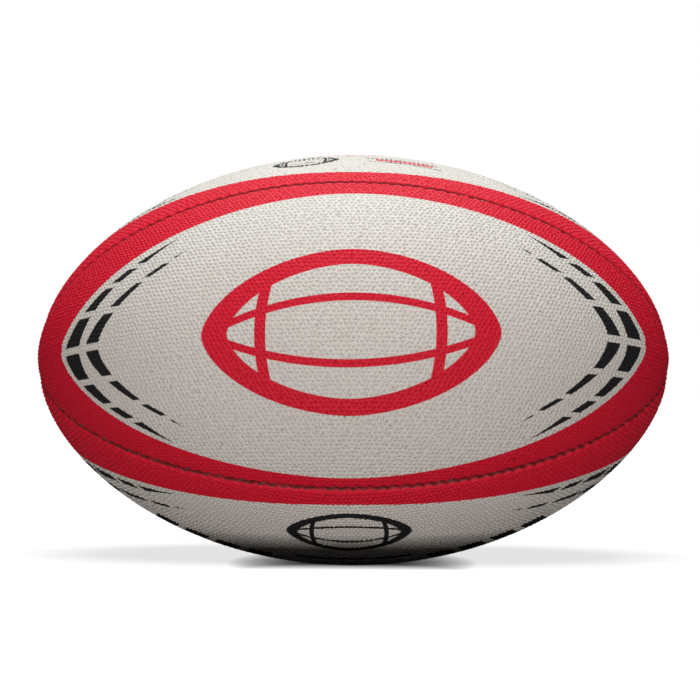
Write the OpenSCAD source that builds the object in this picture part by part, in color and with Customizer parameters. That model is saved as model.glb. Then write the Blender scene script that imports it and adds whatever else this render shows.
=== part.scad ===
// Rugby ball, size 5: four stitched panels over an inflated bladder.
// Millimetres. The long axis is X, +Z is up and the origin is the centre of the ball.
// The ball lies on its side, its front panel facing -Y and turned up a little by roll.

/* [Ball] */
// Length from tip to tip
ball_length = 295; // [260:1:300]
// Diameter round the middle
ball_diameter = 190.8; // [168:0.2:196]
// How much slimmer than an ellipse the shoulders are
shoulder_trim = 0.067; // [0:0.001:0.1]
// How much slimmer still the ends are
end_trim = 0.039; // [0:0.001:0.08]
// How far the front panel faces upwards, in degrees
roll = 12; // [0:1:44]

/* [Panels] */
// Thickness of the rubber facing
rubber_thickness = 1.3; // [0.8:0.1:1.6]
// Thickness of one layer of backing cloth
ply_thickness = 0.4; // [0.3:0.05:0.5]
// Gap between the facings of two neighbouring panels
seam_gap = 0.4; // [0.2:0.1:0.8]
// How deep the panel edges turn in at a seam
flange_depth = 6; // [5:0.5:8]

/* [Stitching] */
// Diameter of the waxed thread
thread_diameter = 0.9; // [0.6:0.1:1.1]
// Distance from one stitch to the next along the seam
stitch_pitch = 5; // [4:0.5:8]
// Depth of the stitch line below the surface
stitch_depth = 4; // [3.6:0.1:4.2]
// Where the stitching stops, from the middle of the ball
stitch_reach = 141; // [120:1:141]
// Thickness of a stitch pulled tight in its hole, as a share of the thread's
stitch_squeeze = 0.8; // [0.6:0.05:0.9]

/* [Bladder and valve] */
// Thickness of the bladder's wall
bladder_wall = 0.65; // [0.5:0.05:0.9]
// Room between the bladder and the panels
bladder_clearance = 0.1; // [0.1:0.05:0.5]
// Diameter of the hole through the panel for the valve
valve_hole = 8; // [7:0.1:10]
// Outer diameter of the valve's tube
valve_tube = 7.6; // [6.6:0.1:9.6]
// Length of the valve's tube
valve_length = 19; // [15:0.5:24]
// How far the valve's mouth sits below the surface
valve_recess = 0.4; // [0.2:0.1:0.8]
// Diameter of the valve's round base inside the bladder
valve_base = 26; // [20:1:32]
// Diameter of the reinforcing patch between the base and the bladder
patch_diameter = 40; // [34:1:50]
// Diameter of the soft core pressed into the tube
core_diameter = 4.8; // [4:0.1:5]
// Diameter of the core's head in the mouth of the tube
core_head = 6; // [5.6:0.1:6.2]
// Diameter of the channel for the inflating needle
needle_channel = 2.1; // [1.8:0.1:2.4]

/* [Hidden] */
$fn = 96;
profile_steps = 48;

// Distance of each layer's outer face below the surface of the ball
ply_count = 3;
ply_depth = [for (i = [0:ply_count]) rubber_thickness + i * ply_thickness];
panel_depth = ply_depth[ply_count];
bladder_depth = panel_depth + bladder_clearance;
patch_depth = bladder_depth + bladder_wall;
patch_thickness = 0.8;
base_depth = patch_depth + patch_thickness;
base_thickness = 1.2;

// The bladder's folds run round the turned-in edges and the thread on them
fold_clearance = 0.3;
fold_half_width = seam_gap / 2 + panel_depth + thread_diameter + fold_clearance;
fold_depth = flange_depth + fold_clearance;

// The core's head, body and needle channel, from the mouth of the valve inwards
core_head_length = 1.6;
core_length = 15;
channel_length = 12;

half_length = ball_length / 2;
radius = ball_diameter / 2;
// Larger than any radius or depth that it cuts through
beyond = ball_length;

// The panels are named in order round the long axis, a quarter turn apart
FRONT = 0;
TOP = 1;
BACK = 2;
BOTTOM = 3;
quarter = 90;

// Outline of the ball. Angle t runs from 0 at the -X tip to 180 at the +X tip.
function along(t) = -cos(t);
function slimming(t) = 1 - shoulder_trim * pow(along(t), 2) - end_trim * pow(along(t), 4);
function slimming_slope(t) = -2 * shoulder_trim * along(t) - 4 * end_trim * pow(along(t), 3);
function outline(t) = [half_length * along(t), radius * sin(t) * slimming(t)];
function outline_slope(t) = [
    half_length * sin(t),
    radius * (cos(t) * slimming(t) + sin(t) * sin(t) * slimming_slope(t))
];
// Point of the outline's parallel curve that lies a given depth inside the ball
function inside(t, depth) =
    let (slope = outline_slope(t))
    outline(t) - depth * [-slope[1], slope[0]] / norm(slope);

// Angles of the outline's points, and the length of the stitch line up to each of them
steps = [for (i = [0:profile_steps]) 180 * i / profile_steps];
stitch_line = [for (t = steps) inside(t, stitch_depth)];
function length_to(i) = i == 0 ? 0 : length_to(i - 1) + norm(stitch_line[i] - stitch_line[i - 1]);
lengths = [for (i = [0:profile_steps]) length_to(i)];
middle_length = lengths[profile_steps] / 2;
reach_length = lookup(stitch_reach, [for (i = [0:profile_steps]) [stitch_line[i][0], lengths[i]]]);

// The stitches are numbered from the middle of the ball, negative towards -X
last_stitch = floor((reach_length - middle_length) / stitch_pitch);
stitch_numbers = [-last_stitch:last_stitch];
angle_at_length = [for (i = [0:profile_steps]) [lengths[i], steps[i]]];
function stitch_angle(i) = lookup(middle_length + i * stitch_pitch, angle_at_length);

// The whole solid of revolution, shrunk by depth on every side
module shrunk_ball(depth) {
    rotate([0, 90, 0])
        rotate_extrude()
            polygon([for (t = steps) [inside(t, depth)[1], inside(t, depth)[0]]]);
}

// Turns what lies between +Y and +Z to where a panel is
module at_panel(panel) {
    rotate([135 - roll - quarter * panel, 0, 0]) children();
}

// Stands +Z on the middle of a panel, pointing outwards
module on_panel(panel) {
    rotate([90 - roll - quarter * panel, 0, 0]) children();
}

// A quarter of the ball, shrunk by depth at the surface and at both seams
module quarter_ball(depth) {
    edge = seam_gap / 2 + depth;
    intersection() {
        shrunk_ball(depth);
        translate([-half_length, edge, edge]) cube([ball_length, beyond, beyond]);
    }
}

// The passage for the valve through the middle of a panel
module valve_passage(diameter) {
    on_panel(BACK) translate([0, 0, radius / 2]) cylinder(d = diameter, h = beyond);
}

// One layer of a panel, with its edges turned in along both seams
module layer(outer_depth, inner_depth) {
    difference() {
        quarter_ball(outer_depth);
        quarter_ball(inner_depth);
        shrunk_ball(flange_depth);
    }
}

module facing(panel) {
    color("whitesmoke") at_panel(panel) layer(0, rubber_thickness);
}

module ply(panel, number) {
    color("wheat") at_panel(panel) layer(ply_depth[number - 1], ply_depth[number]);
}

// Cuts the hole for the valve through a layer of the back panel
module pierced() {
    difference() {
        children();
        valve_passage(valve_hole);
    }
}

// One run of thread along the turned-in edges, in the plane of the seam
module thread_run() {
    outer_edge = [for (i = stitch_numbers) inside(stitch_angle(i), stitch_depth - thread_diameter / 2)];
    inner_edge = [for (i = stitch_numbers) inside(stitch_angle(-i), stitch_depth + thread_diameter / 2)];
    linear_extrude(height = thread_diameter) polygon(concat(outer_edge, inner_edge));
}

// The thread of the seam between a panel and the next one round: a run on each side of the
// turned-in edges, and a stitch through them at every pitch
module seam_thread(panel) {
    run = seam_gap / 2 + panel_depth;
    stitch_half_length = run + thread_diameter / 2;
    color("tan") at_panel(panel) {
        translate([0, 0, run]) thread_run();
        translate([0, 0, -run - thread_diameter]) thread_run();
        for (i = stitch_numbers) {
            place = inside(stitch_angle(i), stitch_depth);
            translate([place[0], place[1], -stitch_half_length])
                cylinder(d = thread_diameter * stitch_squeeze, h = 2 * stitch_half_length);
        }
    }
}

// The bladder's outer form, or a smaller one inside it, with its folds round the seams
module bladder_form(depth) {
    half_width = fold_half_width + depth;
    difference() {
        shrunk_ball(bladder_depth + depth);
        at_panel(FRONT) difference() {
            union() {
                translate([-beyond, -beyond, -half_width]) cube([2 * beyond, 2 * beyond, 2 * half_width]);
                translate([-beyond, -half_width, -beyond]) cube([2 * beyond, 2 * half_width, 2 * beyond]);
            }
            shrunk_ball(fold_depth + depth);
        }
    }
}

module bladder() {
    color("dimgray") difference() {
        bladder_form(0);
        bladder_form(bladder_wall);
        valve_passage(valve_tube);
    }
}

// A round piece that follows the curve of the ball on the valve's axis
module curved_disc(diameter, depth, thickness) {
    intersection() {
        difference() {
            shrunk_ball(depth);
            shrunk_ball(depth + thickness);
        }
        valve_passage(diameter);
    }
}

module valve_patch() {
    color("gray") difference() {
        curved_disc(patch_diameter, patch_depth, patch_thickness);
        valve_passage(valve_tube);
    }
}

// Tube and base in one, with a stepped bore for the core
module valve_housing() {
    mouth = radius - valve_recess;
    color("black") difference() {
        union() {
            curved_disc(valve_base, base_depth, base_thickness);
            on_panel(BACK) translate([0, 0, mouth - valve_length]) cylinder(d = valve_tube, h = valve_length);
        }
        on_panel(BACK) {
            translate([0, 0, mouth - valve_length - 1]) cylinder(d = core_diameter, h = valve_length + 2);
            translate([0, 0, mouth - core_head_length]) cylinder(d = core_head, h = core_head_length + 1);
        }
    }
}

// Self-sealing core: a headed plug whose needle channel ends short of its closed tip
module valve_core() {
    mouth = radius - valve_recess;
    color("darkslategray") on_panel(BACK) difference() {
        union() {
            translate([0, 0, mouth - core_length]) cylinder(d = core_diameter, h = core_length);
            translate([0, 0, mouth - core_head_length]) cylinder(d = core_head, h = core_head_length);
        }
        translate([0, 0, mouth - channel_length]) cylinder(d = needle_channel, h = channel_length + 1);
    }
}

facing(FRONT);  // front_panel
facing(TOP);  // top_panel
pierced() facing(BACK);  // back_panel
facing(BOTTOM);  // bottom_panel
ply(FRONT, 1);  // front_ply_1
ply(FRONT, 2);  // front_ply_2
ply(FRONT, 3);  // front_ply_3
ply(TOP, 1);  // top_ply_1
ply(TOP, 2);  // top_ply_2
ply(TOP, 3);  // top_ply_3
pierced() ply(BACK, 1);  // back_ply_1
pierced() ply(BACK, 2);  // back_ply_2
pierced() ply(BACK, 3);  // back_ply_3
ply(BOTTOM, 1);  // bottom_ply_1
ply(BOTTOM, 2);  // bottom_ply_2
ply(BOTTOM, 3);  // bottom_ply_3
seam_thread(FRONT);  // front_top_thread
seam_thread(TOP);  // top_back_thread
seam_thread(BACK);  // back_bottom_thread
seam_thread(BOTTOM);  // bottom_front_thread
bladder();
valve_patch();
valve_housing();
valve_core();
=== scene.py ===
"""Looks of the rugby ball: four pimpled rubber panels, their printing, and the thread in the seams.

Metres, in the CAD frame: the long axis is X, +Z is up and the front panel faces -Y.
A point on a panel has two flat coordinates. s runs along the ball from its middle, and w runs
round it from the panel's centre line, both measured on the surface.
"""

import math

import bpy
import numpy as np
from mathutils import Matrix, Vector


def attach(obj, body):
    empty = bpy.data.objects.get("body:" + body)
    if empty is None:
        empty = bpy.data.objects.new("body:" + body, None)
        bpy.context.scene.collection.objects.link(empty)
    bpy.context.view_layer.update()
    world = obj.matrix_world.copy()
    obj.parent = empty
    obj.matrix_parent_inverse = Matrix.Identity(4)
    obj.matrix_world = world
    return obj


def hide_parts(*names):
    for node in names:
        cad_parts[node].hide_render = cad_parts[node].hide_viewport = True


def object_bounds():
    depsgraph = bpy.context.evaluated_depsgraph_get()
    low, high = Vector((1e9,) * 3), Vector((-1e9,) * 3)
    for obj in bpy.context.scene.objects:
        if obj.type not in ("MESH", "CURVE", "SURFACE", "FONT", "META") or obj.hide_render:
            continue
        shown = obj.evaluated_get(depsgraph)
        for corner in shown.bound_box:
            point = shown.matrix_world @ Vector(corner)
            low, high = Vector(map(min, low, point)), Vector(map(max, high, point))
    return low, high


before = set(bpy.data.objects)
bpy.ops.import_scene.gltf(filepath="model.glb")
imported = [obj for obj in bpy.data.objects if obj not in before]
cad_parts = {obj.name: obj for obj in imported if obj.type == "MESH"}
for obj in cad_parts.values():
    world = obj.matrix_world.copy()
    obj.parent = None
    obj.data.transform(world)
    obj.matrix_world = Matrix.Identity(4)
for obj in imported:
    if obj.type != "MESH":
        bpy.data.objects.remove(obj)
cad_low, cad_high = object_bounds()

MM = 0.001
rng = np.random.default_rng(15)

# ---------------------------------------------------------------- the ball's form

HALF_LENGTH = cad_high.x
RADIUS = cad_high.z
# The outline is an ellipse whose shoulders and ends are drawn in by these shares of the radius
SHOULDER_TRIM = 0.067
END_TRIM = 0.039
# The panels and seams are turned round the long axis by this much
ROLL = math.radians(12)
QUARTER = math.pi / 2
SEAM_GAP = 0.4 * MM
PANELS = ("front", "top", "back", "bottom")

# The panels dip towards the seams, over this distance from each seam
DIP = 0.75 * MM
DIP_REACH = 7 * MM
# The surface between the pimples lies a little inside the CAD's, which is the size over their tops
PIMPLE_SINK = 0.14 * MM
# Half width of a panel that takes the full dip, and the depth at which the seam's unevenness ends
DIP_WIDTH = 8 * MM
EVEN_DEPTH = 4 * MM
# Rounding of a panel's edge, and the most it takes of the panel's half width
CORNER = 1.35 * MM
CORNER_SHARE = 0.45
# Towards the tips the edges are pressed closer together, and the groove between them narrows
TIGHT_FROM = 112 * MM
TIGHT_TO = 150 * MM
TIGHTENING = 0.5
# Depth of the turned-in edges
FLANGE = 5.6 * MM
RUBBER = 1.22 * MM
# The pimples stop this far short of the tips, and no outer point is nearer to the long axis than this
TIP_GAP = 1.2 * MM
LEAST_RADIUS = 0.45 * MM

# Stitches pull the edges down and the seam wanders to and fro between them
STITCH_PITCH = 5 * MM
PULL = 0.5 * MM
PULLS = rng.uniform(0.5, 1.3, 81)
PULL_REACH = 1.9 * MM
WANDER = 0.34 * MM
WANDER_REACH = 3 * MM
# The wander grows from nothing to its full size between these half widths of a panel
WANDER_FROM = 4 * MM
WANDER_TO = 12 * MM

PIMPLE_PITCH = 2.08 * MM
PIMPLE_HEIGHT = 0.36 * MM
# The shading takes the pimples as steeper than they are by this much height
PIMPLE_SHADING = 0.38 * MM
# Radius of a pimple's foot and the scatter of its place, as shares of the pitch
PIMPLE_FOOT = 0.33
PIMPLE_SCATTER = 0.16
# Height of a pimple at its foot, as a share of its height in the middle
PIMPLE_SLOPE = 0.12
# Least and greatest share of the usual size, for a pimple's foot and for its height
FOOT_SPREAD = (0.88, 1.12)
HEIGHT_SPREAD = (0.85, 1.15)
# Dirt and painted shade between the pimples, next to 1 at their feet
VALLEY_DIRT_AND_SHADE = 0.3
# Distances from a panel's edge and from the valve hole where pimples begin, and where they are full
PIMPLES_FROM = 0.6 * MM
PIMPLES_FULL = 2.6 * MM
HOLE_PIMPLES_FULL = 2.5 * MM
# The grid of pimples goes this far past a panel's edge
LIP = 1.6 * MM

# Radius of the hole for the valve and the rounding of its rim
VALVE_HOLE = 4 * MM
HOLE_CORNER = 0.7 * MM

# The inner face: its rows and columns, its distance from the tips, and the share of its half width
# where it turns down along the edge
INNER_ROWS = 90
INNER_COLUMNS = 24
INNER_TIP_GAP = 5 * MM
INNER_BEND = 0.84
# Sine of the widest angle between the inner face's edge and the seam's plane
INNER_NARROWEST = 0.69
# Radius left out of the inner face round the valve, as a multiple of the hole's
INNER_HOLLOW = 1.5

angles = np.linspace(0, math.pi, 6001)
along = -np.cos(angles)
MERIDIAN_X = HALF_LENGTH * along
MERIDIAN_R = RADIUS * np.sin(angles) * (1 - SHOULDER_TRIM * along**2 - END_TRIM * along**4)
steps = np.hypot(np.diff(MERIDIAN_X), np.diff(MERIDIAN_R))
MERIDIAN_S = np.concatenate([[0], np.cumsum(steps)])
MERIDIAN_S -= MERIDIAN_S[-1] / 2
slope_x = np.gradient(MERIDIAN_X, MERIDIAN_S)
slope_r = np.gradient(MERIDIAN_R, MERIDIAN_S)
S_END = MERIDIAN_S[-1] - TIP_GAP


def meridian(s):
    """Place along the axis, radius and outward normal where the surface length is s."""
    x = np.interp(s, MERIDIAN_S, MERIDIAN_X)
    r = np.interp(s, MERIDIAN_S, MERIDIAN_R)
    normal_x = -np.interp(s, MERIDIAN_S, slope_r)
    normal_r = np.interp(s, MERIDIAN_S, slope_x)
    return x, r, normal_x, normal_r


def half_width(s):
    """Distance round the ball from a panel's centre line to its edge."""
    return np.maximum(meridian(s)[1] * QUARTER / 2 - SEAM_GAP / 2, 0.2 * MM)


def smooth(low, high, value):
    t = np.clip((value - low) / (high - low), 0, 1)
    return t * t * (3 - 2 * t)


def round_corner(q, corner):
    """Turns the distance past a sharp edge into a distance before the edge plane and a depth."""
    turn = np.clip((q + corner) / (2 * corner), 0, 1) * QUARTER
    before = np.where(q < -corner, -q, corner * (1 - np.sin(turn)))
    depth = np.where(q > corner, q, corner * (1 - np.cos(turn)))
    return before, depth


def on_ball(x, r, angle):
    """Points at an angle upwards from -Y round the axis."""
    return np.stack([x, -r * np.cos(angle), r * np.sin(angle)], axis=-1)


def stitch_pull(s):
    """About 1 at a stitch, more at some than at others, and 0 halfway between two."""
    nearest = np.rint(s / STITCH_PITCH).astype(int) + len(PULLS) // 2
    return PULLS[nearest] * np.cos(math.pi * s / STITCH_PITCH) ** 2


def panel_point(panel, s, w, height, pierced):
    """Place of a flat point of a panel's outer face, carried over its edges where it lies past them."""
    hole_depth = 0
    if pierced:
        reach = np.hypot(s, w)
        before, hole_depth = round_corner(VALVE_HOLE - reach, HOLE_CORNER)
        stretch = (VALVE_HOLE + before) / reach
        s, w = s * stretch, w * stretch
    x, r, normal_x, normal_r = meridian(s)
    half = half_width(s)
    past = np.abs(w) - half
    tight = TIGHTENING * smooth(TIGHT_FROM, TIGHT_TO, np.abs(s))
    corner = np.minimum(CORNER, CORNER_SHARE * half) * (1 - tight)
    before, depth = round_corner(past, corner)
    inside = np.maximum(-past, 0)
    pull = stitch_pull(s) * np.exp(-inside / PULL_REACH)
    dip = DIP * np.exp(-inside / DIP_REACH) + PIMPLE_SINK + PULL * pull
    rise = height - dip * smooth(0, DIP_WIDTH, half) * (1 - smooth(0, EVEN_DEPTH, depth))
    fall = depth + hole_depth - rise
    r_here = np.maximum(r - fall * normal_r, LEAST_RADIUS)
    edge = QUARTER / 2 - np.arcsin(SEAM_GAP / 2 / r_here) - before / np.maximum(r, LEAST_RADIUS)
    fade = np.exp(-inside / WANDER_REACH) * (1 - smooth(0, EVEN_DEPTH, depth))
    fade = fade * smooth(WANDER_FROM, WANDER_TO, half)
    wander = WANDER * np.sin(2 * math.pi * s / STITCH_PITCH) * fade
    angle = np.sign(w) * edge + wander / np.maximum(r, MM)
    return on_ball(x - fall * normal_x, r_here, angle + ROLL + QUARTER * panel)


# ---------------------------------------------------------------- meshes


def make_object(name, points, faces, replaced, values=None):
    """A smooth mesh that rides on the ball and stands for CAD nodes."""
    mesh = bpy.data.meshes.new(name)
    mesh.from_pydata(points.tolist(), [], faces.tolist())
    mesh.polygons.foreach_set("use_smooth", np.ones(len(mesh.polygons), bool))
    for key, value in (values or {}).items():
        layer = mesh.attributes.new(key, "FLOAT", "POINT")
        layer.data.foreach_set("value", value.astype(np.float32))
    mesh.update()
    made = bpy.data.objects.new(name, mesh)
    bpy.context.scene.collection.objects.link(made)
    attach(made, "root")
    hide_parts(*replaced)
    return made


def lattice(reach_s, reach_w, keep):
    """Flat pimples on a hexagonal grid: points, triangles, and each point's shares of height and of dirt
    with painted shade.
    """
    rows = int(reach_w / (PIMPLE_PITCH * math.sqrt(3) / 2)) + 2
    columns = int(reach_s / PIMPLE_PITCH) + rows // 2 + 2
    q, r = np.meshgrid(np.arange(-columns, columns + 1), np.arange(-rows, rows + 1), indexing="ij")
    shape = q.shape
    centre = PIMPLE_PITCH * np.stack([q + r / 2, r * math.sqrt(3) / 2], axis=-1)
    scatter = PIMPLE_SCATTER * PIMPLE_PITCH
    centre = centre + rng.uniform(-scatter, scatter, centre.shape)
    spin = np.arange(6) * math.pi / 3
    spread = PIMPLE_FOOT * PIMPLE_PITCH * rng.uniform(*FOOT_SPREAD, shape + (6, 1))
    ring = centre[:, :, None, :] + spread * np.stack([np.cos(spin), np.sin(spin)], axis=-1)
    up = np.zeros_like(centre)
    down = np.zeros_like(centre)
    up[:-1, :-1] = (centre[:-1, :-1] + centre[1:, :-1] + centre[:-1, 1:]) / 3
    down[:-1, :-1] = (centre[1:, :-1] + centre[:-1, 1:] + centre[1:, 1:]) / 3
    kept = keep(centre[..., 0], centre[..., 1])
    kept[0], kept[-1], kept[:, 0], kept[:, -1] = False, False, False, False

    cells = shape[0] * shape[1]
    number = np.arange(cells).reshape(shape)
    points = np.concatenate([part.reshape(-1, 2) for part in (centre, up, down, ring)])
    a, b = np.nonzero(kept)
    middle = number[a, b]
    around = [3 * cells + middle * 6 + k for k in range(6)]
    corners = [
        cells + number[a, b],
        2 * cells + number[a - 1, b],
        cells + number[a - 1, b],
        2 * cells + number[a - 1, b - 1],
        cells + number[a, b - 1],
        2 * cells + number[a, b - 1],
    ]
    triangles = []
    for k in range(6):
        after, before = (k + 1) % 6, (k - 1) % 6
        triangles.append(np.stack([middle, around[k], around[after]], axis=-1))
        triangles.append(np.stack([around[k], corners[k], around[after]], axis=-1))
        triangles.append(np.stack([around[k], corners[before], corners[k]], axis=-1))
    triangles = np.concatenate(triangles)
    size = rng.uniform(*HEIGHT_SPREAD, cells)
    share = np.concatenate([size, np.zeros(2 * cells), np.repeat(size, 6) * PIMPLE_SLOPE])
    # Dirt and painted shade: none on a pimple's top, some in the valleys, most round its foot
    dirt_and_shade = np.concatenate([np.zeros(cells), np.full(2 * cells, VALLEY_DIRT_AND_SHADE), np.ones(6 * cells)])
    used, renumbered = np.unique(triangles, return_inverse=True)
    return points[used], renumbered.reshape(-1, 3), share[used], dirt_and_shade[used]


def border_loops(triangles):
    """The edges that belong to one triangle, strung into closed loops."""
    edges = np.concatenate([triangles[:, [0, 1]], triangles[:, [1, 2]], triangles[:, [2, 0]]])
    present = set(map(tuple, edges.tolist()))
    following = {a: b for a, b in present if (b, a) not in present}
    loops = []
    while following:
        start, here = following.popitem()
        loop = [start]
        while here != start:
            loop.append(here)
            here = following.pop(here)
        loops.append(np.array(loop))
    return sorted(loops, key=len, reverse=True)


def even_out(path, width=3):
    """A closed path smoothed by a running average."""
    return sum(np.roll(path, k, axis=0) for k in range(-width, width + 1)) / (2 * width + 1)


def zip_loops(outer, outer_turn, inner, inner_turn):
    """Triangles between two loops that go the same way round, matched by their turn."""
    def from_start(loop, turn):
        start = int(np.argmin(turn))
        loop, turn = np.roll(loop, -start), np.roll(turn, -start)
        return np.append(loop, loop[0]), np.append(np.maximum.accumulate(turn), turn[0] + 2 * math.pi)
    outer, outer_turn = from_start(outer, outer_turn)
    inner, inner_turn = from_start(inner, inner_turn)
    faces, i, j = [], 0, 0
    while i < len(outer) - 1 or j < len(inner) - 1:
        if j == len(inner) - 1 or (i < len(outer) - 1 and outer_turn[i + 1] <= inner_turn[j + 1]):
            faces.append((outer[i + 1], outer[i], inner[j]))
            i += 1
        else:
            faces.append((outer[i], inner[j], inner[j + 1]))
            j += 1
    return faces


def inner_face(panel, first, pierced):
    """The panel's inner face: points, triangles that look inwards, and two flat places of each point.

    The first place goes from -1 to 1 over the whole face, and the second is in metres.
    """
    rows, columns = INNER_ROWS, INNER_COLUMNS
    end = MERIDIAN_S[-1] - INNER_TIP_GAP
    s = end * np.linspace(-1, 1, rows)[:, None] * np.ones(columns)
    across = np.linspace(-1, 1, columns)[None, :] * np.ones((rows, 1))
    offset = SEAM_GAP / 2 + RUBBER
    x, r, normal_x, normal_r = meridian(s)
    level = np.minimum(np.abs(across) / INNER_BEND, 1)
    down = np.clip((np.abs(across) - INNER_BEND) / (1 - INNER_BEND), 0, 1)
    depth = RUBBER + (FLANGE - RUBBER) * down
    r_here = r - depth * normal_r
    reach = QUARTER / 2 - np.arcsin(np.clip(offset / r_here, 0, INNER_NARROWEST))
    angle = np.sign(across) * level * reach
    points = on_ball(x - depth * normal_x, r_here, angle + ROLL + QUARTER * panel)
    number = first + np.arange(rows * columns).reshape(rows, columns)
    quads = np.stack([number[:-1, :-1], number[:-1, 1:], number[1:, 1:], number[1:, :-1]], axis=-1)
    arc = angle * r
    if pierced:
        middle_s = (s[:-1, :-1] + s[1:, 1:]) / 2
        middle_w = (arc[:-1, :-1] + arc[1:, 1:]) / 2
        hollow = np.hypot(middle_s, middle_w) < INNER_HOLLOW * VALVE_HOLE
        quads = quads[~hollow]
    quads = quads.reshape(-1, 4)
    faces = np.concatenate([quads[:, [0, 1, 2]], quads[:, [0, 2, 3]]])
    flat = np.stack([s / end, across], axis=-1).reshape(-1, 2)
    local = np.stack([s, arc], axis=-1).reshape(-1, 2)
    return points.reshape(-1, 3), faces, flat, local


def turn_of(flat):
    """Angle of each flat place round the middle."""
    return np.arctan2(flat[:, 1], flat[:, 0])


def make_panel(panel):
    """A closed rubber facing: the pimpled outer face, its turned-in edges, and the inner face."""
    name = PANELS[panel]
    pierced = name == "back"

    def keep(s, w):
        kept = (np.abs(s) < S_END) & (np.abs(w) < half_width(s) + LIP)
        if pierced:
            kept &= np.hypot(s, w) > VALVE_HOLE
        return kept

    flat, faces, share, dirt_and_shade = lattice(MERIDIAN_S[-1], RADIUS * QUARTER / 2 + LIP, keep)
    s, w = flat[:, 0], flat[:, 1]
    s = np.clip(s, -S_END, S_END)
    inside = half_width(s) - np.abs(w)
    fade = smooth(PIMPLES_FROM, PIMPLES_FULL, inside)
    if pierced:
        fade = fade * smooth(VALVE_HOLE + PIMPLES_FROM, VALVE_HOLE + HOLE_PIMPLES_FULL, np.hypot(s, w))
    points = panel_point(panel, s, w, PIMPLE_HEIGHT * share * fade, pierced)

    loops = border_loops(faces)
    count = len(points)
    all_points, all_faces = [points], [faces]
    flat_s, flat_w, foot_dirt_and_shade, tall = [s], [w], [dirt_and_shade * fade], [share * fade]
    strips = []
    for index, loop in enumerate(loops):
        path = even_out(np.stack([s[loop], w[loop]], axis=-1))
        if index == 0:
            half = half_width(path[:, 0])
            path[:, 1] *= (half + FLANGE) / (half + LIP)
            turn = turn_of(path / np.stack([np.full(len(path), S_END), half + FLANGE], axis=-1))
        else:
            path *= ((VALVE_HOLE - RUBBER) / np.hypot(path[:, 0], path[:, 1]))[:, None]
            turn = turn_of(path)
        lower = count + np.arange(len(loop))
        after, lower_after = np.roll(loop, -1), np.roll(lower, -1)
        all_faces.append(np.stack([after, loop, lower], axis=-1))
        all_faces.append(np.stack([after, lower, lower_after], axis=-1))
        all_points.append(panel_point(panel, path[:, 0], path[:, 1], np.zeros(len(loop)), pierced))
        flat_s.append(path[:, 0])
        flat_w.append(path[:, 1])
        foot_dirt_and_shade.append(np.zeros(len(loop)))
        tall.append(np.zeros(len(loop)))
        strips.append((lower, turn))
        count += len(loop)

    inner_points, inner_faces, inner_flat, inner_local = inner_face(panel, count, pierced)
    inner_loops = border_loops(inner_faces)
    for index, (lower, turn) in enumerate(strips):
        inner_loop = inner_loops[index][::-1]
        place = inner_flat if index == 0 else inner_local
        inner_turn = turn_of(place[inner_loop - count])
        if index > 0:
            lower, turn = lower[::-1], turn[::-1]
            inner_loop, inner_turn = inner_loop[::-1], inner_turn[::-1]
            faces_between = [f[::-1] for f in zip_loops(lower, turn, inner_loop, inner_turn)]
        else:
            faces_between = zip_loops(lower, turn, inner_loop, inner_turn)
        all_faces.append(np.array(faces_between))
    all_points.append(inner_points)
    all_faces.append(inner_faces)
    flat_s.append(inner_local[:, 0])
    flat_w.append(inner_local[:, 1])
    foot_dirt_and_shade.append(np.zeros(len(inner_points)))
    tall.append(np.zeros(len(inner_points)))
    points = np.concatenate(all_points)
    used, renumbered = np.unique(np.concatenate(all_faces), return_inverse=True)
    all_s, all_w = np.concatenate(flat_s)[used], np.concatenate(flat_w)[used]
    values = {
        "print_s": all_s / MM,
        "print_w": all_w / MM,
        "edge": (half_width(all_s) - np.abs(all_w)) / MM,
        "foot_dirt_and_shade": np.concatenate(foot_dirt_and_shade)[used],
        "tall": np.concatenate(tall)[used],
    }
    triangles = renumbered.reshape(-1, 3)
    return make_object(
        name + "_facing", points[used], triangles, [name + "_panel"], values
    )


# ---------------------------------------------------------------- thread

THREAD = 0.9 * MM
TWIST_LENGTH = 2.4 * MM
# The two runs lie at this depth and this far to each side of the seam, and stitches join them
STITCH_DEPTH = 4 * MM
RUN_SIDE = 3.15 * MM
RUN_POINTS_PER_STITCH = 12
# Stitches on each side of the ball's middle
STITCHES = 35
# Least depth of a stitch, and how many times that the top of one may be
STITCH_TOP = 1.75 * MM
STITCH_TOP_SPREAD = (1.05, 2.2)
# A stitch goes this far along the seam to each side as it crosses it
STITCH_LEAN = 1.5 * MM
STITCH_POINTS = 15


def twisted_cord(path, radius, sides=10):
    """A closed two-ply cord along a path: its points and triangles."""
    tangent = np.gradient(path, axis=0)
    tangent /= np.linalg.norm(tangent, axis=1)[:, None]
    side = np.cross(tangent, [1.0, 0.13, 0.07])
    small = np.linalg.norm(side, axis=1) < 0.2
    side[small] = np.cross(tangent[small], [0.1, 0.2, 1.0])
    side /= np.linalg.norm(side, axis=1)[:, None]
    other = np.cross(tangent, side)
    length = np.concatenate([[0], np.cumsum(np.linalg.norm(np.diff(path, axis=0), axis=1))])
    turn = np.arange(sides) * 2 * math.pi / sides
    twist = math.pi * length / TWIST_LENGTH
    lobes = radius * (0.9 + 0.16 * np.cos(2 * (turn[None, :] - twist[:, None])))
    ring = path[:, None, :] + lobes[..., None] * (
        np.cos(turn)[None, :, None] * side[:, None, :] + np.sin(turn)[None, :, None] * other[:, None, :]
    )
    count = len(path)
    points = np.concatenate([ring.reshape(-1, 3), path[[0, -1]]])
    number = np.arange(count * sides).reshape(count, sides)
    here, after = number[:-1], number[1:]
    faces = [
        np.stack([here, np.roll(here, -1, 1), np.roll(after, -1, 1)], axis=-1).reshape(-1, 3),
        np.stack([here, np.roll(after, -1, 1), after], axis=-1).reshape(-1, 3),
    ]
    start, end = count * sides, count * sides + 1
    faces.append(np.stack([np.roll(number[0], -1), number[0], np.full(sides, start)], axis=-1))
    faces.append(np.stack([number[-1], np.roll(number[-1], -1), np.full(sides, end)], axis=-1))
    return points, np.concatenate(faces)


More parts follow.
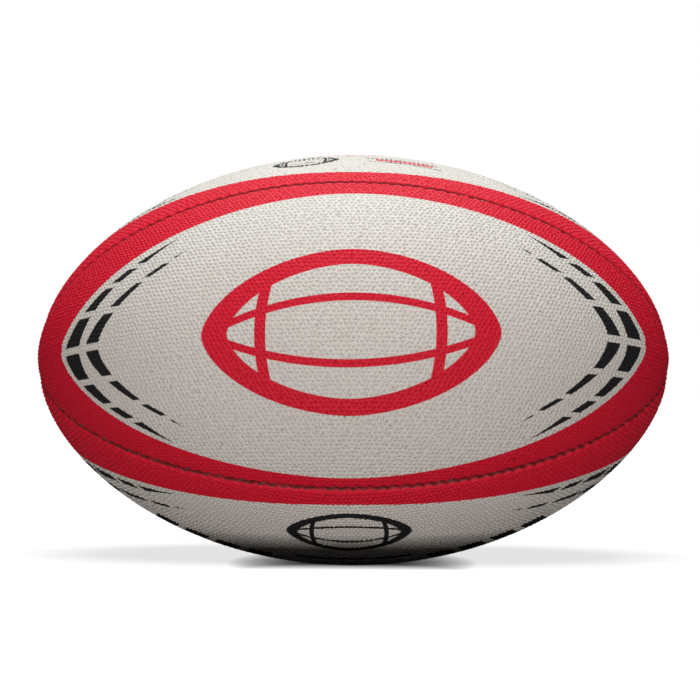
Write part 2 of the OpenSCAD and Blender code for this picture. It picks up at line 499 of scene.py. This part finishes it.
def seam_point(seam, s, side, depth):
    """A point beside a seam's plane, at a depth below the surface."""
    x, r, normal_x, normal_r = meridian(s)
    theta = ROLL + QUARTER / 2 + QUARTER * seam
    flat = on_ball(x - depth * normal_x, r - depth * normal_r, theta + 0 * s)
    return flat + side[..., None] * np.array([0, math.sin(theta), math.cos(theta)])


def make_thread(seam):
    """The waxed thread of one seam: two runs, and the stitches that join them through the groove."""
    name = PANELS[seam] + "_" + PANELS[(seam + 1) % 4]
    cords = []
    run_end = STITCHES * STITCH_PITCH
    run = np.linspace(-run_end, run_end, RUN_POINTS_PER_STITCH * STITCHES)
    for side in (-RUN_SIDE, RUN_SIDE):
        path = seam_point(seam, run, np.full(len(run), side), np.full(len(run), STITCH_DEPTH))
        cords.append(path)
    sweep = np.linspace(-1, 1, STITCH_POINTS)
    for number in range(-STITCHES, STITCHES + 1):
        place = number * STITCH_PITCH + STITCH_LEAN * np.tanh(2.5 * sweep)
        top = STITCH_TOP * rng.uniform(*STITCH_TOP_SPREAD)
        depth = top + (STITCH_DEPTH - top) * np.abs(sweep) ** 1.6
        cords.append(seam_point(seam, place, RUN_SIDE * sweep, depth))
    points, faces, tones, count = [], [], [], 0
    for path in cords:
        cord_points, cord_faces = twisted_cord(path, THREAD / 2)
        points.append(cord_points)
        faces.append(cord_faces + count)
        tones.append(np.full(len(cord_points), rng.uniform(0, 1)))
        count += len(cord_points)
    return make_object(
        name + "_stitching", np.concatenate(points), np.concatenate(faces),
        [name + "_thread"], {"tone": np.concatenate(tones)},
    )


panels = [make_panel(panel) for panel in range(4)]
threads = [make_thread(seam) for seam in range(4)]

# ---------------------------------------------------------------- materials


class Value:
    """A number in a material's nodes that takes Python's arithmetic."""

    def __init__(self, tree, socket):
        self.tree = tree
        self.socket = socket

    def math(self, operation, *others, clamp=False):
        node = self.tree.nodes.new("ShaderNodeMath")
        node.operation = operation
        node.use_clamp = clamp
        for place, item in zip(node.inputs, (self, *others)):
            if isinstance(item, Value):
                self.tree.links.new(item.socket, place)
            else:
                place.default_value = item
        return Value(self.tree, node.outputs[0])

    def held(self):
        """The value, kept between 0 and 1."""
        return self.math("ADD", 0.0, clamp=True)

    def __add__(self, other):
        return self.math("ADD", other)

    def __sub__(self, other):
        return self.math("SUBTRACT", other)

    def __rsub__(self, other):
        return self.math("MULTIPLY", -1.0).math("ADD", other)

    def __mul__(self, other):
        return self.math("MULTIPLY", other)

    def __truediv__(self, other):
        return self.math("DIVIDE", other)

    def __pow__(self, other):
        return self.math("POWER", other)

    def __abs__(self):
        return self.math("ABSOLUTE")

    def least(self, *others):
        value = self
        for other in others:
            value = value.math("MINIMUM", other)
        return value

    def most(self, *others):
        value = self
        for other in others:
            value = value.math("MAXIMUM", other)
        return value


# Size of the print next to the measures given below
PRINT_SIZE = 0.99
# Softness of a printed edge, in millimetres
INK_EDGE = 0.3


def ink(distance):
    """Coverage of ink where the distance inside a shape's edge is positive, in millimetres."""
    return (distance / INK_EDGE + 0.5).held()


def mix_colour(tree, factor, first, second, blend="MIX"):
    node = tree.nodes.new("ShaderNodeMix")
    node.data_type = "RGBA"
    node.blend_type = blend
    tree.links.new(factor.socket, node.inputs[0])
    for place, colour in ((node.inputs[6], first), (node.inputs[7], second)):
        if isinstance(colour, tuple):
            place.default_value = (*colour, 1)
        else:
            tree.links.new(colour, place)
    return node.outputs[2]


def noise_value(tree, vector, scale, detail=2.0, roughness=0.5):
    node = tree.nodes.new("ShaderNodeTexNoise")
    node.inputs["Scale"].default_value = scale
    node.inputs["Detail"].default_value = detail
    node.inputs["Roughness"].default_value = roughness
    tree.links.new(vector, node.inputs["Vector"])
    return Value(tree, node.outputs["Fac"])


def attribute(tree, name):
    node = tree.nodes.new("ShaderNodeAttribute")
    node.attribute_name = name
    return Value(tree, node.outputs["Fac"])


def new_material(name, **settings):
    """A material with a Principled shader, and the sockets that most of them use."""
    material = bpy.data.materials.new(name)
    material.use_nodes = True
    tree = material.node_tree
    shader = tree.nodes["Principled BSDF"]
    for key, value in settings.items():
        shader.inputs[key.replace("_", " ").title().replace("Ior", "IOR")].default_value = value
    where = tree.nodes.new("ShaderNodeTexCoord").outputs["Object"]
    return material, tree, shader, where


def add_bump(tree, shader, height, strength, distance):
    node = tree.nodes.new("ShaderNodeBump")
    node.inputs["Strength"].default_value = strength
    node.inputs["Distance"].default_value = distance
    tree.links.new(height.socket, node.inputs["Height"])
    tree.links.new(node.outputs["Normal"], shader.inputs["Normal"])


WHITE = (0.765, 0.745, 0.70)
RED = (0.76, 0.012, 0.038)
BLACK = (0.018, 0.018, 0.02)
# Painted shade in the seams' grooves, a deep red
SEAM_SHADE = (0.13, 0.016, 0.019)
# How far the painted shade in a seam's groove spreads from the seam's edge, in millimetres
SEAM_SHADE_REACH = 1.3
# Fineness of the noise that clouds the rubber, roughens it, and breaks up the painted shade in the seams
CLOUD_SCALE = 22.0
SPECK_SCALE = 900.0
SEAM_SHADE_SCALE = 420.0
# Dirt and painted shade at the foot of a pimple: how much of it there is, and the tint that it gives
FOOT_DIRT_AND_SHADE = 0.55
FOOT_DIRT_AND_SHADE_TINT = (0.45, 0.43, 0.4)

# Thread: stained red for the most part, paler in places, with its fibres
THREAD_STAINED = (0.09, 0.03, 0.025)
THREAD_PALE = (0.19, 0.145, 0.105)
THREAD_FIBRE = (0.12, 0.06, 0.05)
# Backing cloth: between its threads, on them, their loose fibres, and the threads' spacing
CLOTH_DARK = (0.42, 0.36, 0.27)
CLOTH_LIGHT = (0.74, 0.68, 0.56)
CLOTH_FIBRE = (0.82, 0.77, 0.66)
CLOTH_THREAD = 1.1 * MM
RUBBER_DUST = (0.5, 0.48, 0.45)

# The white field is a rounded lens: |s / a| ** m + |w / b| ** n = 1
FIELD_A, FIELD_M = 146.4, 1.798
FIELD_B, FIELD_N = 67.1, 1.295
FIELD_SLOPE = 60
FIELD_END = 144.9

# Rows of dashes round the ends. The outer edge is at end - bend * (w / DASH_SCALE) ** power. The
# row's width falls from wide to narrow over DASH_NARROWING, and to nothing at its tip.
DASH_ROWS = (
    {"end": 141.6, "bend": 49.6, "power": 1.51, "wide": 10.6, "narrow": 5.2, "tip": 47.6, "taper": 0.45},
    {"end": 126.8, "bend": 54.5, "power": 1.47, "wide": 8.6, "narrow": 3.5, "tip": 39.6, "taper": 0.5},
)
DASH_SCALE = 40
DASH_NARROWING = 27.0
# Gaps between the dashes: distance from the centre line, and half the gap's width
DASH_GAPS = ((0, 1.6), (15.1, 1.4), (27.15, 1.15), (35.1, 1.1))

# The generic oval ball, at size 1: a lens |s / a| ** m + |w / b| ** n = 1 and the width of its line
OVAL_A, OVAL_M = 64.0, 1.8
OVAL_B, OVAL_N = 36.0, 1.6
OVAL_SLOPE = 23.0
OVAL_LINE = 7
# Its seams bow out by this much over this half length, and its end bands curve; half widths of both
OVAL_SEAM_BOW = 14
OVAL_SEAM_REACH = 62.0
OVAL_SEAM_HALF = 1.7
OVAL_BAND = 38
OVAL_BAND_CURVE = 0.006
OVAL_BAND_HALF = 2.4

# Generic marks on the panels: place along and round the ball, and size
FRONT_MARK = (0, -2.0, 1.0)
TOP_MARK = (0, 0, 0.9)
TOP_MARK_HALF = 38
TOP_SMALL_MARK = (-20, -47.6, 0.24)
BACK_MARK = (55, 0, 0.55)
BOTTOM_MARK = (1, 46.5, 0.43)
# Bars: place along and round the ball, half length and half width
TOP_RED_BAR = (25, -47.6, 13, 1.5)
TOP_BLACK_BARS = ((25, -50.8, 17, 0.5), (25, -44.4, 17, 0.5))
BOTTOM_BAR = (2, 19, 26, 1.4)
# Slanted blocks: nearest and farthest from the middle, half width; their step, half length and slant
BOTTOM_BLOCKS = (38, 98, 16)
BLOCK_STEP = 15.0
BLOCK_HALF = 5.6
BLOCK_SLANT = 0.3

# The front panel was printed a little off its centre and askew, and its black a little more so
FRONT_SHIFT_S = 2.85
FRONT_SHIFT_W = 2.5
FRONT_SKEW = 0.0138
FRONT_DASH_SHIFT_W = 3.0
FRONT_DASH_SKEW = 0.0178


def field(s, w):
    """Distance inside the edge of the white field."""
    lens = (1 - (abs(s) / FIELD_A) ** FIELD_M - (abs(w) / FIELD_B) ** FIELD_N) * FIELD_SLOPE
    return lens.least(FIELD_END - abs(s))


def dashes(s, w):
    far, side = abs(s), abs(w)
    cut = None
    for centre, half in DASH_GAPS:
        clear = abs(side - centre) - half
        cut = clear if cut is None else cut.least(clear)
    found = None
    for row_form in DASH_ROWS:
        outer = row_form["end"] - (side / DASH_SCALE) ** row_form["power"] * row_form["bend"]
        narrowing = (side / DASH_NARROWING).least(1.0) * (row_form["wide"] - row_form["narrow"])
        width = (row_form["wide"] - narrowing).least((row_form["tip"] - side) * row_form["taper"])
        row = (outer - far).least(far - outer + width)
        found = row if found is None else found.most(row)
    return found.least(cut)


def pictogram(s, w, centre_s, centre_w, size):
    """A generic oval ball: a line round it, heavier at the ends, two seams and two end bands."""
    s, w = (s - centre_s) / size, (w - centre_w) / size
    rim = (1 - (abs(s) / OVAL_A) ** OVAL_M - (abs(w) / OVAL_B) ** OVAL_N) * OVAL_SLOPE
    outline = rim.least(OVAL_LINE - rim)
    bow = (1 - (s / OVAL_SEAM_REACH) ** 2) * OVAL_SEAM_BOW
    seams = (OVAL_SEAM_HALF - abs(abs(w) - bow)).least(rim)
    band = (OVAL_BAND_HALF - abs(abs(s) + (w * w) * OVAL_BAND_CURVE - OVAL_BAND)).least(rim)
    return outline.most(seams, band) * size


def bar(s, w, centre_s, centre_w, half_s, half_w):
    return (half_s - abs(s - centre_s)).least(half_w - abs(w - centre_w))


def slanted_blocks(s, w, near, far, half_w):
    """Bold slanted blocks on both sides of the middle."""
    leaning = abs(s) + w * BLOCK_SLANT
    nearest = (leaning / BLOCK_STEP).math("ROUND") * BLOCK_STEP
    block = BLOCK_HALF - abs(leaning - nearest)
    return block.least(leaning - near, far - leaning, half_w - abs(w))


def printing(name, s, w, dash_w):
    """Distances inside the red and black shapes printed on a panel's white field, None for no red."""
    red, black = None, dashes(s, dash_w)
    if name == "front":
        red = pictogram(s, w, *FRONT_MARK)
    elif name == "top":
        red = pictogram(s, w, *TOP_MARK).least(TOP_MARK_HALF - abs(w)).most(bar(s, w, *TOP_RED_BAR))
        black = black.most(pictogram(s, w, *TOP_SMALL_MARK))
        black = black.most(*(bar(s, w, *form) for form in TOP_BLACK_BARS))
    elif name == "back":
        red = pictogram(abs(s), w, *BACK_MARK)
    else:
        black = black.most(pictogram(s, w, *BOTTOM_MARK), slanted_blocks(s, w, *BOTTOM_BLOCKS))
        black = black.most(bar(s, w, *BOTTOM_BAR))
    return red, black


def panel_material(name):
    """Rubber with a red border, a white field, and the panel's printing."""
    material, tree, shader, where = new_material(
        name + "_rubber", roughness=0.5, specular_ior_level=0.16
    )
    s, w = attribute(tree, "print_s") / PRINT_SIZE, attribute(tree, "print_w") / PRINT_SIZE
    dash_w = w
    if name == "front":
        dash_w = w - (s * FRONT_DASH_SKEW - FRONT_DASH_SHIFT_W)
        w = w - (s * FRONT_SKEW - FRONT_SHIFT_W)
        s = s - FRONT_SHIFT_S
    red, black = printing(name, s, w, dash_w)
    base_red = ink(field(s, w) * -1.0)
    cloud = noise_value(tree, where, CLOUD_SCALE, 3.0)
    speck = noise_value(tree, where, SPECK_SCALE, 2.0)

    tone = mix_colour(tree, cloud, tuple(c * 0.96 for c in WHITE), tuple(c * 1.03 for c in WHITE))
    coloured = mix_colour(tree, base_red, tone, RED)
    if red is not None:
        coloured = mix_colour(tree, ink(red), coloured, RED)
    coloured = mix_colour(tree, ink(black), coloured, BLACK)
    # Painted shade darkens the seams' grooves, and dirt with painted shade lies round the feet of the
    # pimples
    seam_shade = (attribute(tree, "edge") / -SEAM_SHADE_REACH + 1.0).held()
    seam_shade = seam_shade * (noise_value(tree, where, SEAM_SHADE_SCALE, 2.0) * 1.6 + 0.1).held()
    coloured = mix_colour(tree, seam_shade, coloured, SEAM_SHADE)
    # Dirt with painted shade darkens the rubber round the feet of the pimples
    coloured = mix_colour(tree, attribute(tree, "foot_dirt_and_shade") * FOOT_DIRT_AND_SHADE, coloured, FOOT_DIRT_AND_SHADE_TINT, "MULTIPLY")
    tree.links.new(coloured, shader.inputs["Base Color"])

    rough = cloud * 0.1 + speck * 0.12 + 0.46
    tree.links.new(rough.socket, shader.inputs["Roughness"])
    add_bump(tree, shader, attribute(tree, "tall") + speck * 0.03, 1.0, PIMPLE_SHADING)
    return material


def thread_material():
    material, tree, shader, where = new_material("waxed_thread", roughness=0.6, sheen_weight=0.2)
    tone = attribute(tree, "tone")
    fibre = noise_value(tree, where, 2500.0, 3.0)
    colour = mix_colour(tree, tone ** 2.5, THREAD_STAINED, THREAD_PALE)
    colour = mix_colour(tree, fibre, THREAD_FIBRE, colour)
    tree.links.new(colour, shader.inputs["Base Color"])
    tree.links.new((fibre * 0.3 + 0.45).socket, shader.inputs["Roughness"])
    add_bump(tree, shader, fibre, 0.4, 0.1 * MM)
    return material


def cloth_material():
    """Plain-woven polycotton: threads along the ball and round it."""
    material, tree, shader, where = new_material("backing_cloth", roughness=0.85, sheen_weight=0.3)
    parts = tree.nodes.new("ShaderNodeSeparateXYZ")
    tree.links.new(where, parts.inputs[0])
    x, y, z = (Value(tree, parts.outputs[k]) for k in range(3))
    radius = (y * y + z * z) ** 0.5
    count = 2 * math.pi / CLOTH_THREAD
    warp = (x * count).math("SINE")
    weft = ((z.math("ARCTAN2", y) * radius.most(RADIUS / 4)) * count).math("SINE")
    weave = abs(warp * weft)
    fibre = noise_value(tree, where, 1500.0, 3.0)
    colour = mix_colour(tree, weave, CLOTH_DARK, CLOTH_LIGHT)
    colour = mix_colour(tree, fibre * 0.35, colour, CLOTH_FIBRE)
    tree.links.new(colour, shader.inputs["Base Color"])
    tree.links.new((fibre * 0.15 + 0.78).socket, shader.inputs["Roughness"])
    add_bump(tree, shader, weave + fibre * 0.3, 0.5, 0.15 * MM)
    return material


def rubber_material(name, dark, light, roughness, dust):
    """Moulded rubber with a faint bloom and flow marks."""
    material, tree, shader, where = new_material(name, roughness=roughness)
    cloud = noise_value(tree, where, 45.0, 4.0)
    grain = noise_value(tree, where, 1400.0, 2.0)
    colour = mix_colour(tree, cloud, dark, light)
    colour = mix_colour(tree, (grain * cloud) * dust, colour, RUBBER_DUST)
    tree.links.new(colour, shader.inputs["Base Color"])
    tree.links.new((grain * 0.2 + (roughness - 0.1)).socket, shader.inputs["Roughness"])
    add_bump(tree, shader, grain, 0.25, 0.05 * MM)
    return material


for panel, made in enumerate(panels):
    made.data.materials.append(panel_material(PANELS[panel]))

waxed = thread_material()
for made in threads:
    made.data.materials.append(waxed)

cloth = cloth_material()
bladder_rubber = rubber_material(
    "bladder_rubber", dark=(0.02, 0.02, 0.022), light=(0.05, 0.05, 0.052), roughness=0.6, dust=0.35
)
valve_rubber = rubber_material(
    "valve_rubber", dark=(0.012, 0.012, 0.013), light=(0.035, 0.035, 0.037), roughness=0.5, dust=0.12
)
for name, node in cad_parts.items():
    if "_ply_" in name:
        chosen = cloth
    elif name in ("bladder", "valve_patch"):
        chosen = bladder_rubber
    elif name in ("valve_housing", "valve_core"):
        chosen = valve_rubber
    else:
        continue
    node.data.materials.clear()
    node.data.materials.append(chosen)

# ---------------------------------------------------------------- floor, light and camera

FLOOR_SIDE = 2.4
FLOOR_TINTS = ((0.13, 0.13, 0.13), (0.15, 0.15, 0.15))
# How near the ball has to be to a point of the floor for the painted contact shadow to darken it
CONTACT_REACH = 9 * MM
# The faint wide painted shadow lies a little behind the ball; half its length and width, and its
# brightness
SHADOW_LENGTH = 120 * MM
SHADOW_WIDTH = 26 * MM
SHADOW_BACK = 24 * MM
SHADOW_GLOW = 0.76
OPEN_GLOW = 1.15
# In front of the ball the painted contact shadow is lifted, from here on, over this distance
FRONT_FROM = 4 * MM
FRONT_OVER = 16 * MM

# The dark card in front of the ball: half its length, its place and its height
FLAG_REACH = 170 * MM
FLAG_Y = -112 * MM
FLAG_LOW = cad_low.z
FLAG_HIGH = cad_low.z + 21 * MM

# Soft lights that face the ball: name, place, width and height, watts, colour
LIGHTS = (
    ("overhead", (0, 0, 0.72), (0.62, 0.7), 7.4, (0.975, 1.0, 1.0)),
    ("front", (0, -1.5, 0.7), (1.4, 0.8), 1.2, (1, 1, 1)),
    ("low_front", (0, -1.5, 0), (0.62, 0.18), 13.9, (1.0, 0.93, 0.915)),
    ("back", (0, 1.5, 0.8), (1.4, 0.8), 1.6, (1, 1, 1)),
)
# Brightness of the surroundings in the ball's own light; to the camera they are white
AMBIENT = 0.02

CAMERA_DISTANCE = 0.7057
CAMERA_AZIMUTH = math.radians(2)
CAMERA_ELEVATION = math.radians(1.8)
CAMERA_LENS = 77.2
# The camera looks a little above and to the left of the ball's centre
AIM = (-0.8 * MM, 0, 4.75 * MM)

floor_mesh = bpy.data.meshes.new("floor")
side = FLOOR_SIDE / 2
floor_mesh.from_pydata(
    [(-side, -side, 0), (side, -side, 0), (side, side, 0), (-side, side, 0)], [], [(0, 1, 2, 3)]
)
floor = bpy.data.objects.new("floor", floor_mesh)
bpy.context.scene.collection.objects.link(floor)
floor.location.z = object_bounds()[0].z
floor_material, tree, shader, where = new_material("pale_floor", roughness=0.9, specular_ior_level=0.1)
tint = noise_value(tree, where, 3.0)
tree.links.new(mix_colour(tree, tint, *FLOOR_TINTS), shader.inputs["Base Color"])
# The floor glows for the camera alone, so that it is white, with a painted contact shadow where the ball
# stands on it and a faint wide painted shadow behind it
openness = tree.nodes.new("ShaderNodeAmbientOcclusion")
openness.inputs["Distance"].default_value = CONTACT_REACH
to_camera = tree.nodes.new("ShaderNodeLightPath")
parts = tree.nodes.new("ShaderNodeSeparateXYZ")
tree.links.new(where, parts.inputs[0])
beside, behind = Value(tree, parts.outputs[0]), Value(tree, parts.outputs[1])
away = ((beside / SHADOW_LENGTH) ** 2.0 + ((behind - SHADOW_BACK) / SHADOW_WIDTH) ** 2.0) ** 0.5
fade_out = (away - 1.0).held()
in_front = (behind * -1.0 - FRONT_FROM) / FRONT_OVER
open_air = Value(tree, openness.outputs["AO"]).most(in_front).least(1.0)
glow = open_air * (fade_out * (OPEN_GLOW - SHADOW_GLOW) + SHADOW_GLOW)
glow = glow * Value(tree, to_camera.outputs["Is Camera Ray"])
shader.inputs["Emission Color"].default_value = (1, 1, 1, 1)
tree.links.new(glow.socket, shader.inputs["Emission Strength"])
floor_mesh.materials.append(floor_material)


for name, place, size, watts, colour in LIGHTS:
    data = bpy.data.lights.new(name, "AREA")
    data.shape = "RECTANGLE"
    data.size, data.size_y = size
    data.energy = watts
    data.color = colour
    light = bpy.data.objects.new(name, data)
    light.location = place
    light.rotation_mode = "QUATERNION"
    light.rotation_quaternion = (-light.location).to_track_quat("-Z", "Y")
    bpy.context.scene.collection.objects.link(light)

# The dark card is out of the camera's sight and keeps the low light from under the ball
flag_mesh = bpy.data.meshes.new("flag")
flag_corners = [
    (-FLAG_REACH, FLAG_Y, FLAG_LOW),
    (FLAG_REACH, FLAG_Y, FLAG_LOW),
    (FLAG_REACH, FLAG_Y, FLAG_HIGH),
    (-FLAG_REACH, FLAG_Y, FLAG_HIGH),
]
flag_mesh.from_pydata(flag_corners, [], [(0, 1, 2, 3)])
flag = bpy.data.objects.new("flag", flag_mesh)
bpy.context.scene.collection.objects.link(flag)
flag.visible_camera = False
flag_material, tree, shader, where = new_material("black_card", roughness=0.9)
tree.links.new(
    mix_colour(tree, noise_value(tree, where, 40.0), (0.01, 0.01, 0.01), (0.03, 0.03, 0.03)),
    shader.inputs["Base Color"],
)
flag_mesh.materials.append(flag_material)

world = bpy.data.worlds.new("studio")
bpy.context.scene.world = world
world.use_nodes = True
nodes, links = world.node_tree.nodes, world.node_tree.links
background = nodes["Background"]
background.inputs["Color"].default_value = (1, 1, 1, 1)
seen = nodes.new("ShaderNodeLightPath")
brightness = nodes.new("ShaderNodeMapRange")
brightness.inputs["To Min"].default_value = AMBIENT
brightness.inputs["To Max"].default_value = 1.0
links.new(seen.outputs["Is Camera Ray"], brightness.inputs["Value"])
links.new(brightness.outputs["Result"], background.inputs["Strength"])

camera_data = bpy.data.cameras.new("camera")
camera_data.lens = CAMERA_LENS
camera_data.sensor_width = 36
camera = bpy.data.objects.new("camera", camera_data)
bpy.context.scene.collection.objects.link(camera)
camera.location = CAMERA_DISTANCE * Vector((
    math.sin(CAMERA_AZIMUTH) * math.cos(CAMERA_ELEVATION),
    -math.cos(CAMERA_AZIMUTH) * math.cos(CAMERA_ELEVATION),
    math.sin(CAMERA_ELEVATION),
))
camera.rotation_mode = "QUATERNION"
camera.rotation_quaternion = (Vector(AIM) - camera.location).to_track_quat("-Z", "Y")
bpy.context.scene.camera = camera
bpy.context.scene.view_settings.view_transform = "Standard"
